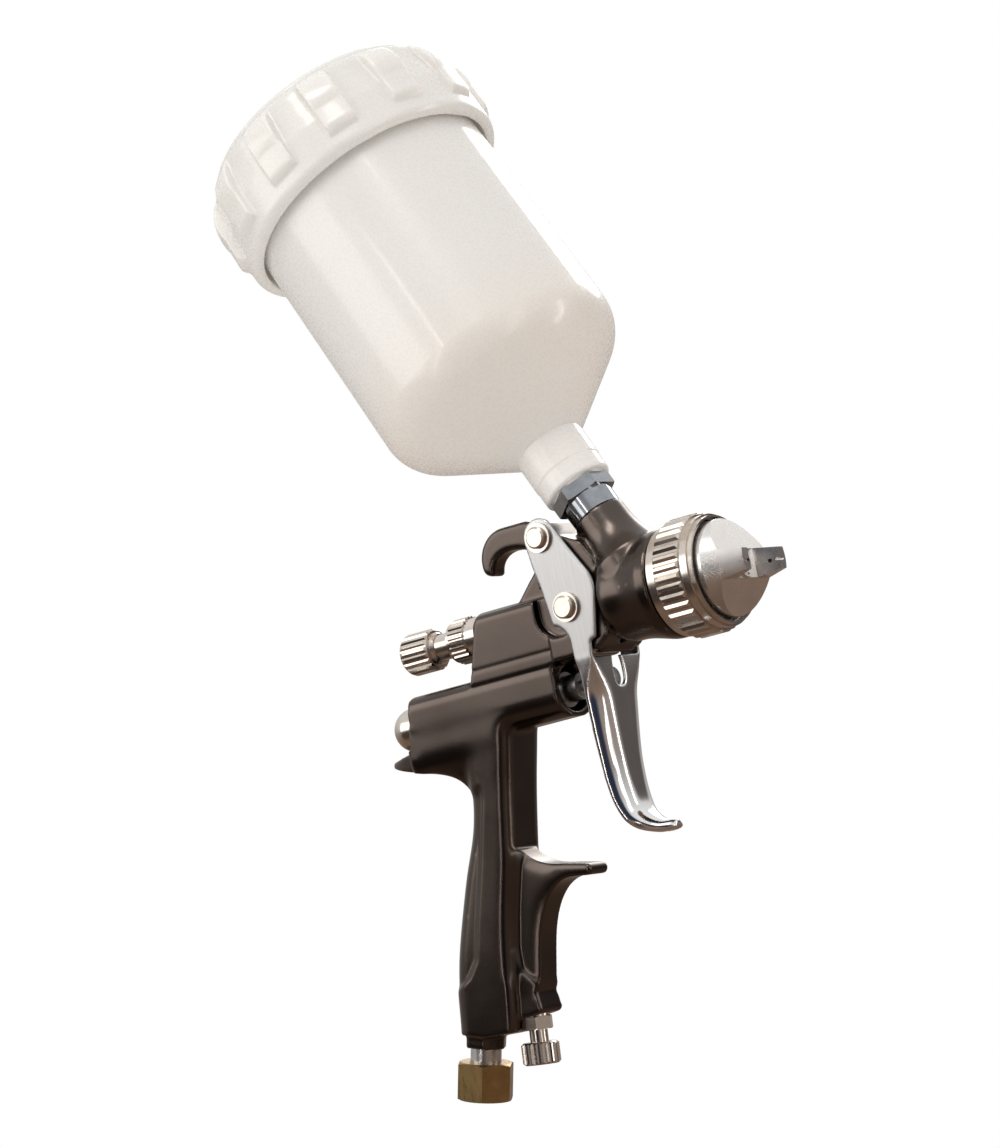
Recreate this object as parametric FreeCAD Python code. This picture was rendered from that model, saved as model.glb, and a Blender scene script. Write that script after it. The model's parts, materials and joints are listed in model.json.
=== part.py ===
import FreeCAD, Part
import math
import os

# Gravity-feed HVLP spray gun, in millimetres.
#
# The gun is drawn with X = 0 and Z = 0 on the spray axis below the trigger pivot:
# +X is the spray direction, +Z is up, and the gun is symmetric about Y = 0.
# What is exported is moved so that the origin is the seat inside the hanging hook.

# ---- Driving dimensions -------------------------------------------------------

HOOK_SEAT = (-20.0, 24.7)          # x, z of the hook's inner top
PIVOT_HEIGHT = 24.5                # trigger pivot above the spray axis
STUD_X = 5.6                       # the studs that pull the needle
CUP_LEAN = math.radians(27.46)     # the cup leans back by this much
CUP_CROSSING_X = 30.05             # where the cup's axis meets the spray axis
INLET_RAKE = math.radians(15.4)    # rake of the handle's foot
INLET_FOOT = (-76.7, -151.06)      # x, z of the swivel nut's lower face
REGULATOR_RAKE = math.radians(5.0)
REGULATOR_FOOT = (-50.3, -143.4)   # x, z of the regulator knob's lower face
AIR_Z = -24.7                      # height of the air-valve axis
PASSAGE_Z = -11.5                  # height of the air passage to the head
FAN_X = -20.0                      # fan valve, on the left side

BLOCK_HALF = 11.0                  # half width of the casting's barrels
CORE_HALF = 12.0                   # half width between the trigger plates
PLATE_IN, PLATE_OUT = 12.5, 14.0   # inner and outer face of a trigger plate
SHEET = PLATE_OUT - PLATE_IN

HEAD_END = 51.0                    # front of the head's threaded boss
FLANGE_X = 40.5                    # front of the head's flange
THREAD_R = 15.8
RECESS_R = 12.8
BAFFLE_X = 46.0
TIP_X = 67.5                       # front of the fluid tip
CAP_R = 16.2
CAP_FRONT = 75.3                   # front of the horns
HORN_R = 12.4                      # the cap tapers to this radius there

CUP_R = 44.0                       # cup body at its shoulder
CUP_MOUTH_R = 42.6
CUP_WALL = 1.7
CUP_BASE, CUP_MOUTH = 43.5, 201.3  # distances along the cup's axis
CUP_NECK_TOP, CUP_NECK_R = 61.5, 12.3
CUP_SHOULDER_ARC = 15.0
CONE_ANGLE = math.radians(51.0)    # between the cone's side and the cup's axis
BOSS_TOP = 31.5                    # top of the casting's cup boss along that axis
HEX_LOW, HEX_HIGH = 38.3, 42.9     # hexagon of the cup fitting
CUP_HEX_TURN = math.radians(30.0)   # so that flats face the sides
STUB_R = 7.8                       # threaded stub that the cup screws onto
LID_TOP = 207.0

NEEDLE_R = 1.5
NUT_FLATS = 17.5
THREAD_BORE = 5.75                 # quarter-inch pipe thread, across its crests
THREAD_DEPTH = 8.6
FIT = 0.05                         # radial clearance of a running fit
GAP = 0.3                          # clearance between pieces that pass each other

ALONG_X = FreeCAD.Vector(1, 0, 0)
BACK_X = FreeCAD.Vector(-1, 0, 0)
ALONG_Y = FreeCAD.Vector(0, 1, 0)
ALONG_Z = FreeCAD.Vector(0, 0, 1)
CUP_UP = FreeCAD.Vector(-math.sin(CUP_LEAN), 0, math.cos(CUP_LEAN))
CUP_START = FreeCAD.Vector(CUP_CROSSING_X, 0, 0)
INLET_UP = FreeCAD.Vector(math.sin(INLET_RAKE), 0, math.cos(INLET_RAKE))
INLET_START = FreeCAD.Vector(INLET_FOOT[0], 0, INLET_FOOT[1])
REGULATOR_UP = FreeCAD.Vector(math.sin(REGULATOR_RAKE), 0, math.cos(REGULATOR_RAKE))
REGULATOR_START = FreeCAD.Vector(REGULATOR_FOOT[0], 0, REGULATOR_FOOT[1])
SPRAY_START = FreeCAD.Vector(0, 0, 0)
AIR_START = FreeCAD.Vector(0, 0, AIR_Z)


# ---- Drawing helpers ----------------------------------------------------------

def closed_face(steps, place):
    """A flat face from corner points, ("arc", middle, end) and ("curve", points).

    place turns a pair of numbers into a vector.
    """
    edges = []
    first = place(*steps[0])
    last = first
    for step in steps[1:]:
        if step[0] == "arc":
            end = place(*step[2])
            edges.append(Part.Arc(last, place(*step[1]), end).toShape())
        elif step[0] == "curve":
            through = [last] + [place(*pair) for pair in step[1]]
            spline = Part.BSplineCurve()
            spline.interpolate(through)
            end = through[-1]
            edges.append(spline.toShape())
        else:
            end = place(*step)
            edges.append(Part.makeLine(last, end))
        last = end
    if last.distanceToPoint(first) > 1e-6:
        edges.append(Part.makeLine(last, first))
    return Part.Face(Part.Wire(edges))


def slab(steps, y_low, y_high):
    """A side outline in X and Z, from y_low to y_high."""
    face = closed_face(steps, lambda x, z: FreeCAD.Vector(x, y_low, z))
    return face.extrude(FreeCAD.Vector(0, y_high - y_low, 0))


def turned(steps, start, direction):
    """A solid of revolution: steps are (distance along the axis, radius)."""
    face = closed_face(steps, lambda along, radius: FreeCAD.Vector(radius, 0, along))
    solid = face.revolve(FreeCAD.Vector(0, 0, 0), ALONG_Z, 360)
    turn = FreeCAD.Rotation(ALONG_Z, direction)
    solid.Placement = FreeCAD.Placement(start, turn).multiply(solid.Placement)
    return solid


def rod(start, direction, low, high, radius):
    """A cylinder between two distances along an axis."""
    base = start + direction * low
    return Part.makeCylinder(radius, high - low, base, direction)


def ring(start, direction, low, high, outer, inner):
    """A tube between two distances along an axis."""
    return rod(start, direction, low, high, outer).cut(rod(start, direction, low, high, inner))


def polygon_bar(start, direction, low, high, radii, turn=0.0):
    """A bar whose section has a corner at each of the given radii, evenly spaced."""
    count = len(radii)
    corners = []
    for number, radius in enumerate(radii):
        angle = turn + 2 * math.pi * number / count
        corners.append(FreeCAD.Vector(radius * math.cos(angle), radius * math.sin(angle), low))
    face = Part.Face(Part.makePolygon(corners + corners[:1]))
    solid = face.extrude(FreeCAD.Vector(0, 0, high - low))
    solid.Placement = FreeCAD.Placement(start, FreeCAD.Rotation(ALONG_Z, direction))
    return solid


def hexagon(start, direction, low, high, flats, chamfer=0.0, turn=0.0):
    """A hexagon bar, its corners cut back by a cone at both ends."""
    corner = flats / math.sqrt(3)
    bar = polygon_bar(start, direction, low, high, [corner] * 6, turn)
    if chamfer:
        steps = [(low, 0), (low, corner - chamfer), (low + chamfer / 2, corner)]
        steps += [(high - chamfer / 2, corner), (high, corner - chamfer), (high, 0)]
        bar = bar.common(turned(steps, start, direction))
    return bar


def knurled(start, direction, low, high, radius, teeth, depth):
    """A band with straight ridges along its axis."""
    radii = []
    for _ in range(teeth):
        radii += [radius, radius, radius - depth, radius - depth]
    return polygon_bar(start, direction, low, high, radii)


def box(x_low, x_high, y_low, y_high, z_low, z_high):
    size = (x_high - x_low, y_high - y_low, z_high - z_low)
    return Part.makeBox(*size, FreeCAD.Vector(x_low, y_low, z_low))


def both_sides(shape):
    """The shape and its mirror image across the plane of symmetry."""
    mirror = shape.mirror(FreeCAD.Vector(0, 0, 0), ALONG_Y)
    return [shape, mirror]


def joined(shapes):
    """One solid out of overlapping ones."""
    return shapes[0].multiFuse(shapes[1:]).removeSplitter()


def rounded(solid, radius, wanted):
    """The solid with the edges that wanted(edge) picks rounded off."""
    edges = [edge for edge in solid.Edges if wanted(edge)]
    return solid.makeFillet(radius, edges)


def on_side_faces(half):
    """Picks the edges that lie in the planes Y = half and Y = -half."""
    def wanted(edge):
        bounds = edge.BoundBox
        return bounds.YLength < 1e-4 and abs(abs(bounds.YMin) - half) < 1e-4
    return wanted


def coil(start, direction, low, high, radius, wire, turns):
    """A round-wire compression spring."""
    pitch = (high - low - 2 * wire) / turns
    spine = Part.makeHelix(pitch, pitch * turns, radius)
    circle = Part.makeCircle(wire, FreeCAD.Vector(radius, 0, 0), ALONG_Y)
    solid = Part.Wire(spine.Edges).makePipeShell([Part.Wire(circle)], True, True)
    turn = FreeCAD.Rotation(ALONG_Z, direction)
    solid.Placement = FreeCAD.Placement(start + direction * (low + wire), turn)
    return solid


# ---- The casting --------------------------------------------------------------

def hook():
    inside = [(-26.4, 22.8), (-22.3, 24.6), (-18.0, 24.5), (-13.6, 23.2), (-11.3, 20.0), (-11.0, 16.0)]
    steps = [(-28.3, 18.4), ("curve", inside), (2.0, 16.0), (6.0, 22.0)]
    steps += [(1.0, 27.0), (-3.5, 30.2), (-12.0, 32.9), (-22.0, 33.0)]
    steps += [("arc", (-30.2, 29.4), (-32.6, 20.4)), ("arc", (-30.9, 18.4), (-28.3, 18.4))]
    half = 3.8
    return rounded(slab(steps, -half, half), 1.2, on_side_faces(half))


def strut():
    steps = [(-24.0, 4.0), (-11.0, 16.6), (0.0, 18.0), (0.0, 4.0)]
    return slab(steps, -3.8, 3.8)


def needle_barrel():
    """The block above the groove, with the pocket that clears the trigger's studs."""
    steps = [(-34.3, 6.0), (5.0, 6.0), (5.0, -16.5), (-41.7, -16.5)]
    block = slab(steps, -BLOCK_HALF, BLOCK_HALF)

    def upper(edge):
        bounds = edge.BoundBox
        return on_side_faces(BLOCK_HALF)(edge) and bounds.ZMin > 5.9

    block = rounded(block, 2.5, upper)
    boss = rod(SPRAY_START, BACK_X, 20.0, 38.8, 7.6)
    return block.fuse(boss)


def air_barrel():
    """The lower barrel, with a rounded top and a rounder underside."""
    top, bottom = -14.6, -34.0
    high, low = 4.5, 8.0
    square = slab([(-68.9, top), (-7.8, top), (-7.8, bottom), (-71.2, bottom)],
                  -BLOCK_HALF, BLOCK_HALF)

    def at(level):
        def wanted(edge):
            bounds = edge.BoundBox
            return on_side_faces(BLOCK_HALF)(edge) and bounds.ZLength < 1e-4 \
                and abs(bounds.ZMin - level) < 1e-4
        return wanted

    return rounded(rounded(square, high, at(top)), low, at(bottom))


def core():
    """What stands between the trigger plates, up to the pivot, and the stop lip."""
    half = CORE_HALF
    steps = [(-5.5, -16.0), (-5.5, 22.5), ("arc", (-4.0, 27.6), (0.0, 29.8)), (6.0, 24.0)]
    steps += [(14.0, 20.0), (18.0, 14.0), (18.0, -12.0), (13.0, -15.6)]
    middle = slab(steps, -half, half)
    lip = rounded(box(9.6, 13.4, -9.0, 9.0, -16.8, -13.0), 1.0,
                  lambda edge: edge.BoundBox.XLength < 1e-4)
    return middle.fuse(lip)


def head():
    """Spray head: a round nose that flares into the flange behind the retaining ring."""
    steps = [(14.0, 0), (14.0, 11.5), ("arc", (17.5, 14.2), (22.0, 15.4))]
    steps += [("curve", [(29.0, 16.2), (34.5, 17.6), (37.0, 18.2)])]
    steps += [(FLANGE_X, 18.2), (FLANGE_X, THREAD_R), (HEAD_END, THREAD_R), (HEAD_END, 0)]
    nose = turned(steps, SPRAY_START, ALONG_X)
    cheeks = box(8.0, 18.1, CORE_HALF, 30.0, -30.0, 30.0)
    return nose.cut(Part.makeCompound(both_sides(cheeks)))


def cup_boss():
    """The leaning boss, flared where it leaves the head."""
    steps = [(0, 0), (0, 15.0), (13.0, 14.2), ("arc", (18.5, 10.9), (25.0, 9.4))]
    steps += [(BOSS_TOP, 9.1), (BOSS_TOP, 0)]
    boss = turned(steps, CUP_START, CUP_UP)
    below = box(-20, 80, -40, 40, -60, 0)
    behind = box(-40, 8.0, -40, 40, -60, 60)
    cheeks = box(-10.0, 18.1, CORE_HALF, 30.0, -30.0, 60.0)
    return boss.cut(Part.makeCompound([below, behind] + both_sides(cheeks)))


def tang():
    """The beak above the web of the hand, narrowing to a rounded nose and into the handle."""
    steps = [(-48.0, -26.0), (-64.0, -26.0), (-70.0, -32.0), (-78.0, -33.1), (-86.4, -33.8)]
    steps += [("arc", (-87.7, -34.9), (-86.2, -36.2))]
    steps += [("curve", [(-75.0, -39.2), (-66.0, -41.6), (-57.0, -45.6), (-52.4, -54.0)])]
    steps += [(-46.0, -54.0)]
    plan = [(-40.0, -8.3), (-66.0, -8.3), ("arc", (-79.8, -5.4), (-88.0, 0.0))]
    plan += [("arc", (-79.8, 5.4), (-66.0, 8.3)), (-40.0, 8.3)]
    from_above = closed_face(plan, lambda x, y: FreeCAD.Vector(x, y, -60.0))
    section = [(-8.3, -20.0), (-8.3, -41.0), ("arc", (-6.6, -48.0), (-4.2, -56.0)), (4.2, -56.0)]
    section += [("arc", (6.6, -48.0), (8.3, -41.0)), (8.3, -20.0)]
    from_behind = closed_face(section, lambda y, z: FreeCAD.Vector(-90.0, y, z))
    beak = slab(steps, -10.0, 10.0).common(from_above.extrude(FreeCAD.Vector(0, 0, 40.0)))
    return beak.common(from_behind.extrude(FreeCAD.Vector(60.0, 0, 0)))


def grip_section(z, back, front, half):
    """A rounded rectangle at height z: broad curves behind, tight ones in front."""
    rear_r = 0.72 * half
    front_r = 3.0
    steps = [(back + rear_r, -half), (front - front_r, -half)]
    corner = front_r * (1 - math.sqrt(0.5))
    steps += [("arc", (front - corner, -half + corner), (front, -half + front_r))]
    steps += [(front, half - front_r)]
    steps += [("arc", (front - corner, half - corner), (front - front_r, half))]
    steps += [(back + rear_r, half)]
    corner = rear_r * (1 - math.sqrt(0.5))
    steps += [("arc", (back + corner, half - corner), (back, half - rear_r))]
    steps += [(back, -half + rear_r)]
    steps += [("arc", (back + corner, -half + corner), (back + rear_r, -half))]
    return closed_face(steps, lambda x, y: FreeCAD.Vector(x, y, z)).OuterWire


def grip():
    """The handle, from the air barrel down to the foot, which is cut square to the inlet."""
    stations = [(-26.0, -51.0, -30.1, 10.9), (-38.0, -53.0, -32.4, 10.7)]
    stations += [(-50.0, -53.9, -35.3, 10.4), (-63.0, -56.6, -38.1, 10.2)]
    stations += [(-75.0, -61.9, -40.6, 10.1), (-90.0, -67.9, -44.7, 10.2)]
    stations += [(-105.0, -73.0, -48.0, 10.3), (-119.0, -75.8, -50.0, 10.2)]
    stations += [(-131.5, -78.2, -52.6, 9.8)]
    handle = Part.makeLoft([grip_section(*station) for station in stations], True, False)
    foot = rod(INLET_START, INLET_UP, -30.0, 22.0, 60.0)
    return handle.cut(foot)


def finger_rest():
    steps = [(-46.0, -74.0), (-38.9, -72.5)]
    steps += [("curve", [(-35.6, -76.0), (-30.0, -78.8), (-22.0, -80.5)]), (-13.6, -82.1)]
    steps += [("arc", (-11.9, -84.4), (-13.4, -86.1)), (-21.0, -85.2)]
    steps += [("curve", [(-28.5, -87.6), (-34.4, -94.6), (-38.0, -104.0), (-41.8, -119.0)])]
    steps += [(-54.0, -119.0), (-54.0, -80.0)]
    half = 6.4

    def outside_handle(edge):
        return on_side_faces(half)(edge) and edge.BoundBox.XMax > -38.8 \
            and edge.BoundBox.ZMax > -118.9

    return rounded(slab(steps, -half, half), 1.2, outside_handle)


def regulator_boss():
    """The front of the handle's foot, which takes the regulator."""
    steps = [(-64.0, -108.0), (-47.0, -108.0), (-43.2, -116.5), (-41.8, -126.0), (-43.0, -127.1)]
    steps += [(-53.0, -127.9), (-60.0, -131.5)]
    block = slab(steps, -6.3, 6.3)
    return block.cut(rod(INLET_START, INLET_UP, -30.0, 22.0, 60.0))


def casting_hollows():
    """Every bore, passage, pocket and slot inside the casting."""
    cuts = []
    # needle bore, packing, fluid chamber and the thread for the fluid tip
    cuts.append(rod(SPRAY_START, ALONG_X, -60.0, 3.2, 5.2))
    cuts.append(rod(SPRAY_START, ALONG_X, 3.0, 14.0, 3.9))
    cuts.append(rod(SPRAY_START, ALONG_X, 13.0, 36.0, 3.4))
    cuts.append(rod(SPRAY_START, ALONG_X, 34.0, HEAD_END, 5.0 + FIT))
    cuts.append(rod(SPRAY_START, ALONG_X, BAFFLE_X, HEAD_END + 1, RECESS_R))
    # slot in which the trigger's studs travel
    cuts.append(box(-4.0, 9.3, -20.0, 20.0, -4.4, 3.6))
    # pockets beside it
    for side in both_sides(slab([(-9.9, 0.0), ("arc", (-1.2, -8.7), (7.5, 0.0)), (7.5, 8.0),
                                 (-9.9, 8.0)], 8.0, 20.0)):
        cuts.append(side)
    # cup passage
    cuts.append(rod(CUP_START, CUP_UP, 0.0, 40.0, 4.0))
    cuts.append(rod(CUP_START, CUP_UP, 20.0, 40.0, 6.5 + FIT))
    # air valve: spring chamber, seat, and the opening in front
    cuts.append(rod(AIR_START, ALONG_X, -80.0, -10.0, 6.0))
    cuts.append(rod(AIR_START, ALONG_X, -14.0, 0.0, 7.6))
    # air passages: valve to head, inlet to valve, regulator to inlet
    cuts.append(rod(FreeCAD.Vector(FAN_X, 0, PASSAGE_Z), ALONG_X, 0.0, 75.0, 2.6))
    cuts.append(rod(FreeCAD.Vector(FAN_X, 0, AIR_Z), ALONG_Z, 0.0, 14.5, 2.6))
    cuts.append(rod(FreeCAD.Vector(FAN_X, 0, PASSAGE_Z), ALONG_Y, 0.0, 20.0, 3.6))
    low = INLET_START + INLET_UP * 55.0
    high = FreeCAD.Vector(-39.0, 0, AIR_Z)
    cuts.append(rod(INLET_START, INLET_UP, 10.0, 57.0, 3.6))
    cuts.append(rod(low, (high - low).normalize(), -2.0, high.distanceToPoint(low), 3.6))
    cuts.append(rod(INLET_START, INLET_UP, 10.0, 30.0, 5.2 + FIT))
    cuts.append(rod(REGULATOR_START, REGULATOR_UP, 10.0, 24.0, 4.5 + FIT))
    cuts.append(rod(REGULATOR_START, REGULATOR_UP, 10.0, 16.15, 5.9))
    cuts.append(rod(REGULATOR_START, REGULATOR_UP, 20.0, 34.0, 3.3))
    cuts.append(rod(FreeCAD.Vector(-68.0, 0, -114.0), ALONG_X, 0.0, 20.0, 2.4))
    # hole for the pivot pin
    cuts.append(rod(FreeCAD.Vector(0, 0, PIVOT_HEIGHT), ALONG_Y, -20.0, 20.0, 3.0))
    return cuts


def side_grooves():
    """The fine line along both sides between the two barrels."""
    groove = slab([(-46.0, -12.5), (4.0, -12.5), (4.0, -11.6), (-46.0, -11.6)],
                  BLOCK_HALF - 0.5, BLOCK_HALF + 5.0)
    return both_sides(groove.cut(box(-5.6, 9.0, 0.0, 30.0, -20.0, 0.0)))


def gun_body():
    neck = hexagon(INLET_START, INLET_UP, 17.4, 24.0, 12.8, 0.6)
    pieces = [hook(), strut(), needle_barrel(), air_barrel(), core(), head(), cup_boss()]
    pieces += [tang(), grip(), finger_rest(), regulator_boss(), neck]
    solid = joined(pieces)
    solid = solid.cut(Part.makeCompound(side_grooves()))
    return solid.cut(casting_hollows())


# ---- Fluid side ---------------------------------------------------------------

def fluid_tip():
    steps = [(34.2, 2.6), (34.2, 5.0), (48.6, 5.0), (48.6, 7.4), (52.6, 7.4), (60.0, 5.2)]
    steps += [(64.6, 3.0), (65.2, 2.0), (TIP_X, 1.7), (TIP_X, 0.7), (65.4, 0.7)]
    steps += [(59.0, 2.6)]
    nozzle = turned(steps, SPRAY_START, ALONG_X)
    flange = hexagon(SPRAY_START, ALONG_X, 48.6, 52.6, 14.0, 0.8)
    return nozzle.fuse(flange.cut(rod(SPRAY_START, ALONG_X, 40.0, 60.0, 4.0)))


def air_baffle():
    plate = ring(SPRAY_START, ALONG_X, BAFFLE_X, BAFFLE_X + 2.5, RECESS_R - 0.1, 5.0 + FIT)
    holes = []
    for number in range(10):
        angle = 2 * math.pi * (number + 0.5) / 10
        centre = FreeCAD.Vector(BAFFLE_X - 1, 10.0 * math.cos(angle), 10.0 * math.sin(angle))
        holes.append(Part.makeCylinder(1.0, 6.0, centre, ALONG_X))
    return plate.cut(holes)


def needle_packing():
    return ring(SPRAY_START, ALONG_X, 14.2, 17.2, 3.3, NEEDLE_R + FIT)


def packing_nut():
    return ring(SPRAY_START, ALONG_X, 9.8, 14.0, 3.8, NEEDLE_R + FIT)


def fluid_needle():
    steps = [(-41.0, 0), (-41.0, 1.2), (-40.5, NEEDLE_R), (57.0, NEEDLE_R)]
    steps += [(64.0, 1.1), (65.1, 0.62), (TIP_X - 0.3, 0.45), (TIP_X + 0.1, 0)]
    return turned(steps, SPRAY_START, ALONG_X)


def needle_collar():
    return ring(SPRAY_START, ALONG_X, -1.6, 1.5, 4.9, NEEDLE_R)


def needle_spring():
    return coil(SPRAY_START, BACK_X, 1.8, 38.8, 3.6, 0.5, 11)


def spring_seat():
    return ring(SPRAY_START, ALONG_X, -41.8, -39.0, 5.0, NEEDLE_R + GAP)


def rear_bushing():
    """Knurled bushing at the back of the needle barrel."""
    collar = rod(SPRAY_START, BACK_X, 39.0, 51.0, 6.9)
    band = knurled(SPRAY_START, BACK_X, 43.5, 49.6, 7.7, 26, 0.5)
    outer = turned([(39.0, 0), (39.0, 7.7), (50.2, 7.7), (51.0, 7.0), (51.0, 0)],
                   SPRAY_START, BACK_X)
    solid = collar.fuse(band).common(outer)
    solid = solid.cut(rod(SPRAY_START, BACK_X, 38.0, 60.0, 4.5 + FIT))
    return solid.cut(rod(SPRAY_START, BACK_X, 38.0, 45.0, 5.2))


def fluid_knob():
    """Fluid control: a knurled knob in one piece with its hollow screw."""
    shaft = rod(SPRAY_START, BACK_X, 42.2, 61.0, 4.5)
    band = knurled(SPRAY_START, BACK_X, 59.6, 71.8, 7.2, 20, 0.55)
    steps = [(58.6, 0), (58.6, 5.4), (60.4, 7.2), (69.2, 7.2), ("arc", (71.0, 6.6), (71.8, 5.2))]
    steps += [(71.8, 0)]
    knob = band.common(turned(steps, SPRAY_START, BACK_X))
    collar = turned([(58.0, 0), (58.0, 4.9), (59.0, 5.6), (60.0, 5.6), (60.0, 0)],
                    SPRAY_START, BACK_X)
    solid = joined([shaft, knob, collar])
    return solid.cut(rod(SPRAY_START, BACK_X, 42.0, 48.0, 2.2))


# ---- Air cap and its ring -----------------------------------------------------

def air_cap():
    """Cap with two horns: a round skirt whose front is cut to a wedge."""
    blank = turned([(52.3, 13.4), (52.3, 17.0), (54.9, 17.0), (54.9, CAP_R), (61.6, CAP_R),
                    (CAP_FRONT, HORN_R), (CAP_FRONT, 0), (64.6, 0), (60.0, 9.0), (57.5, 13.4)],
                   SPRAY_START, ALONG_X)
    cuts = []
    # sloping faces above and below the band that carries the horns
    band = 4.9
    for side in (1, -1):
        steps = [(61.0, side * 17.5), (67.0, side * band), (76.0, side * 3.4), (90.0, side * 3.4)]
        steps += [(90.0, side * 30)]
        steps += [(61.0, side * 30)]
        cuts.append(slab(steps, -20, 20))
    # the gap between the horns, widest at the front
    gap = [(80.0, -9.2), (75.4, -8.7), (67.6, -6.0), (67.6, 6.0), (75.4, 8.7), (80.0, 9.2)]
    face = closed_face(gap, lambda x, y: FreeCAD.Vector(x, y, -8.0))
    cuts.append(face.extrude(FreeCAD.Vector(0, 0, 16.0)))
    cap = blank.cut(cuts)
    crown = turned([(64.0, 0), (64.0, 6.0), (68.4, 4.6), (68.4, 0)], SPRAY_START, ALONG_X)
    cap = cap.fuse(crown)
    holes = [turned([(56.0, 0), (56.0, 9.0), (60.4, 9.0), (65.4, 4.0), (66.0, 2.5), (72.0, 2.5),
                     (72.0, 0)], SPRAY_START, ALONG_X)]
    for side in (1, -1):
        for x in (71.2, 73.4):
            mouth = FreeCAD.Vector(x, side * 5.0, -0.4)
            holes.append(Part.makeCylinder(0.6, 8.0, mouth, FreeCAD.Vector(0.4, side, 0)))
        channel = FreeCAD.Vector(55.0, side * 10.6, 0)
        holes.append(Part.makeCylinder(1.0, 19.2, channel, ALONG_X))
    for z in (3.6, -3.6):
        holes.append(Part.makeCylinder(0.45, 12.0, FreeCAD.Vector(60.0, 0, z), ALONG_X))
    return cap.cut(holes)


def retaining_ring():
    steps = [(40.8, THREAD_R + 0.1), (40.8, 17.6), (41.6, 18.4), (45.0, 18.4), (45.0, 19.0)]
    steps += [(54.8, 19.0), (54.8, 18.7), (57.8, 18.7), (57.8, 18.1), (59.4, 17.9)]
    steps += [(59.4, 17.2), (57.2, 17.2), (57.2, 17.9), (56.0, 17.9), (56.0, 17.2)]
    steps += [(51.8, 17.2), (51.8, THREAD_R + 0.1)]
    barrel = turned(steps, SPRAY_START, ALONG_X)
    band = knurled(SPRAY_START, ALONG_X, 45.0, 54.8, 19.9, 36, 0.8)
    trim = turned([(45.0, 0), (45.0, 19.3), (45.7, 19.9), (54.1, 19.9), (54.8, 19.3), (54.8, 0)],
                  SPRAY_START, ALONG_X)
    band = band.common(trim).cut(rod(SPRAY_START, ALONG_X, 44.0, 56.0, 18.5))
    return barrel.fuse(band)


def cap_clip():
    """Wire ring, open at the bottom, that keeps the cap in its ring."""
    wire = Part.makeTorus(17.25, 0.5, FreeCAD.Vector(56.6, 0, 0), ALONG_X)
    return wire.cut(box(50.0, 60.0, -2.5, 2.5, -20.0, -10.0))


# ---- Cup and lid --------------------------------------------------------------

def cup_fitting():
    """Threaded stem, round collar, hexagon and the stub that the cup screws onto."""
    top = CUP_BASE + 12.0
    steps = [(21.0, 4.0), (21.0, 6.5), (BOSS_TOP + 0.1, 6.5), (BOSS_TOP + 0.1, 8.7)]
    steps += [(HEX_LOW, 8.9), (HEX_HIGH, STUB_R), (top - 0.8, STUB_R), (top, 7.0), (top, 5.2)]
    steps += [(top - 9.0, 5.2), (top - 9.0, 4.0)]
    stem = turned(steps, CUP_START, CUP_UP)
    nut = hexagon(CUP_START, CUP_UP, HEX_LOW, HEX_HIGH, 18.9, 0.5, CUP_HEX_TURN)
    return stem.fuse(nut.cut(rod(CUP_START, CUP_UP, HEX_LOW - 1, HEX_HIGH + 1, 6.0)))


def cup_gasket():
    return ring(CUP_START, CUP_UP, HEX_HIGH, CUP_BASE, 9.6, STUB_R + 0.1)


def shoulder(offset):
    """Profile steps from the cup's cone round into its wall, inset by offset."""
    wall = CUP_R - offset
    radius = CUP_SHOULDER_ARC - offset
    apex = CUP_NECK_TOP + offset / math.sin(CONE_ANGLE) + (wall - CUP_NECK_R) / math.tan(CONE_ANGLE)
    tangent = radius * math.tan(CONE_ANGLE / 2)
    start = (apex - tangent * math.cos(CONE_ANGLE), wall - tangent * math.sin(CONE_ANGLE))
    end = (apex + tangent, wall)
    half = CONE_ANGLE / 2
    middle = (end[0] - radius * math.sin(half), wall - radius * (1 - math.cos(half)))
    return [start, ("arc", middle, end)]


def cup():
    wall = CUP_WALL
    bore = STUB_R + 0.1
    slope = math.tan(CONE_ANGLE)
    funnel = CUP_NECK_TOP + wall / math.sin(CONE_ANGLE) - (CUP_NECK_R - bore) / slope
    low_r = CUP_NECK_R - 0.25
    step = CUP_BASE + 6.2
    outside = [(CUP_BASE, bore), (CUP_BASE, low_r - 1.0)]
    outside += [("arc", (CUP_BASE + 0.3, low_r - 0.3), (CUP_BASE + 1.0, low_r))]
    outside += [(step, low_r), (step + 0.7, CUP_NECK_R), (CUP_NECK_TOP, CUP_NECK_R)]
    outside += shoulder(0.0) + [(CUP_MOUTH, CUP_MOUTH_R)]
    inside = [(funnel, bore)] + shoulder(wall)
    start, arc = inside[1], inside[2]
    back = [(CUP_MOUTH, CUP_MOUTH_R - wall), arc[2], ("arc", arc[1], start), inside[0]]
    return turned(outside + back, CUP_START, CUP_UP)


def cup_strainer():
    """A slotted thimble that stands in the fitting's bore."""
    foot = CUP_BASE + 3.2
    steps = [(foot, 3.6), (foot, 5.1), (foot + 16.0, 4.6), (foot + 18.0, 3.2), (foot + 18.0, 0)]
    steps += [(foot + 17.2, 0), (foot + 16.2, 3.6)]
    tube = turned(steps, CUP_START, CUP_UP)
    slots = []
    for number in range(3):
        bar = box(-1.0, 1.0, -12.0, 12.0, foot + 3.5, foot + 14.5)
        slots.append(about_cup_axis(bar, 60 * number))
    return tube.cut(slots)


def about_cup_axis(shape, degrees):
    """A shape drawn round the Z axis, turned and carried over to the cup's axis."""
    shape.rotate(FreeCAD.Vector(0, 0, 0), ALONG_Z, degrees)
    lean = FreeCAD.Placement(CUP_START, FreeCAD.Rotation(ALONG_Z, CUP_UP))
    shape.Placement = lean.multiply(shape.Placement)
    return shape


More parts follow.
